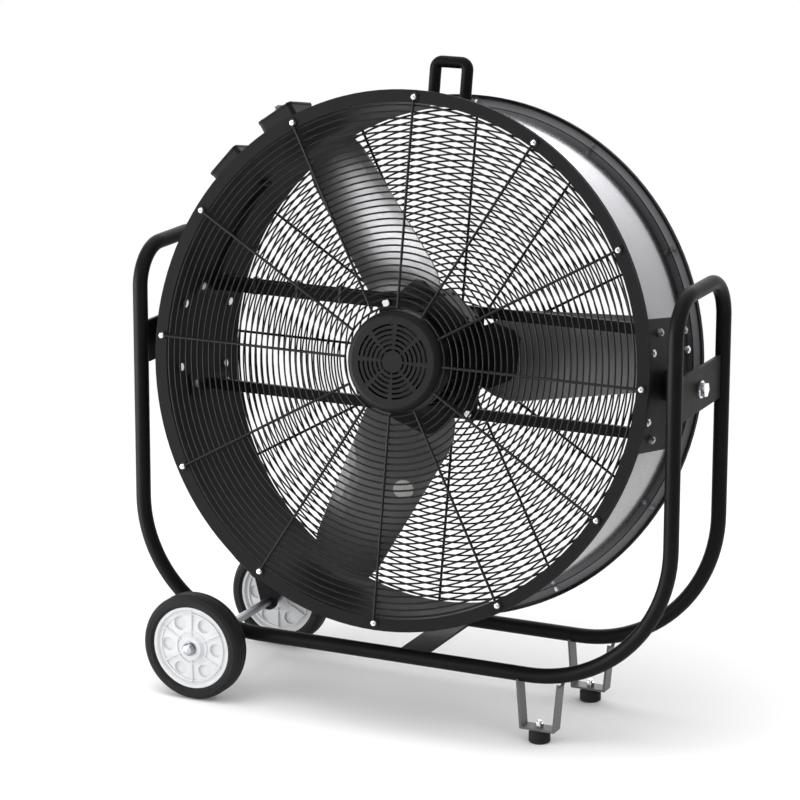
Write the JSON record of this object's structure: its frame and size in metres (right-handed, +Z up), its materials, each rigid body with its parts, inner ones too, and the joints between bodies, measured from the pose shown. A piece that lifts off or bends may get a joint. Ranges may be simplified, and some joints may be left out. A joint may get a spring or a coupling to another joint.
{
  "type": "portable drum fan",
  "caption": "Portable direct-drive drum fan: steel drum with wire guards and a pitched-blade rotor, tilting in a bent-tube cradle on wheels and rubber-tipped feet.",
  "frame": {"origin": "on the floor, under the middle of the fan (middle of the overall width and depth)", "axes": "+Z up; +X towards the feet end, -X towards the wheel end; -Y is the motor (intake) side of the drum, +Y the outlet side; the drum's tilting axis runs along X at Z = 0.66 m"},
  "size_m": [1.0946, 0.4604, 1.2035],
  "materials": {
    "frame_paint": "satin black powder coat",
    "drum_paint": "semi-gloss black powder coat",
    "zinc_steel": "bright zinc plate",
    "strap_steel": "satin dark grey",
    "foot_rubber": "matt black rubber",
    "tyre_rubber": "matt black tyre",
    "hub_plastic": "light grey moulded",
    "guard_wire": "satin black powder coat",
    "motor_paint": "satin black enamel",
    "box_paint": "satin black",
    "black_plastic": "satin black plastic",
    "lead_rubber": "matt black sheath",
    "shaft_steel": "turned steel",
    "blade_paint": "gloss black enamel"
  },
  "bodies": {
    "cradle": {"front_cradle_tube": "frame_paint", "rear_cradle_tube": "frame_paint", "left_arch_tube": "frame_paint", "right_arch_tube": "frame_paint", "left_bracket": "frame_paint", "right_bracket": "frame_paint", "base_cross_plate": "frame_paint", "axle_brackets": "frame_paint", "wheel_axle": "zinc_steel", "axle_spacers": "zinc_steel", "axle_washers": "zinc_steel", "axle_caps": "zinc_steel", "front_foot_strap": "strap_steel", "rear_foot_strap": "strap_steel", "front_foot_rubber": "foot_rubber", "rear_foot_rubber": "foot_rubber", "foot_bolts": "zinc_steel"},
    "front_wheel": {"front_tyre": "tyre_rubber", "front_wheel_hub": "hub_plastic"},
    "rear_wheel": {"rear_tyre": "tyre_rubber", "rear_wheel_hub": "hub_plastic"},
    "drum": {"drum_shell": "drum_paint", "left_saddle_plate": "drum_paint", "right_saddle_plate": "drum_paint", "saddle_bolts": "zinc_steel", "pivot_bosses": "drum_paint", "friction_discs": "foot_rubber", "pivot_bolts": "zinc_steel", "top_handle": "frame_paint", "handle_bolts": "zinc_steel", "front_guard_spokes": "guard_wire", "front_guard_rings": "guard_wire", "rear_guard_spokes": "guard_wire", "rear_guard_rings": "guard_wire", "front_guard_screws": "zinc_steel", "rear_guard_screws": "zinc_steel", "upper_crossbar": "drum_paint", "lower_crossbar": "drum_paint", "crossbar_feet": "drum_paint", "crossbar_bolts": "zinc_steel", "motor_plate": "drum_paint", "motor_plate_bolts": "zinc_steel", "motor_flange": "motor_paint", "motor_body": "motor_paint", "motor_cowl": "motor_paint", "terminal_box": "motor_paint", "terminal_lid": "motor_paint", "motor_lead": "lead_rubber", "lead_ties": "black_plastic", "switch_box": "box_paint", "switch_lid": "box_paint", "capacitor_box": "box_paint", "capacitor_lid": "box_paint", "box_nipple": "zinc_steel", "cable_gland": "black_plastic"},
    "selector": {"selector_knob": "black_plastic"},
    "rotor": {"motor_shaft": "shaft_steel", "hub_plate": "blade_paint", "rotor_blades": "blade_paint", "blade_rivets": "blade_paint"}
  },
  "joints": [
    {"name": "drum_tilt", "type": "hinge", "parent": "cradle", "child": "drum", "pos_m": [0, 0, 0.66], "axis": [1, 0, 0], "range_deg": [-80, 100]},
    {"name": "rotor_spin", "type": "hinge", "parent": "drum", "child": "rotor", "pos_m": [0, 0, 0.66], "axis": [0, 0.9848, -0.1736], "continuous": true},
    {"name": "front_wheel_roll", "type": "hinge", "parent": "cradle", "child": "front_wheel", "pos_m": [-0.395, -0.1775, 0.1015], "axis": [0, 1, 0], "continuous": true},
    {"name": "rear_wheel_roll", "type": "hinge", "parent": "cradle", "child": "rear_wheel", "pos_m": [-0.395, 0.1775, 0.1015], "axis": [0, 1, 0], "continuous": true},
    {"name": "selector_turn", "type": "hinge", "parent": "drum", "child": "selector", "pos_m": [-0.3101, 0.03118, 1.09595], "axis": [-0.5807, 0.1414, 0.8017], "range_deg": [0, 90]}
  ]
}
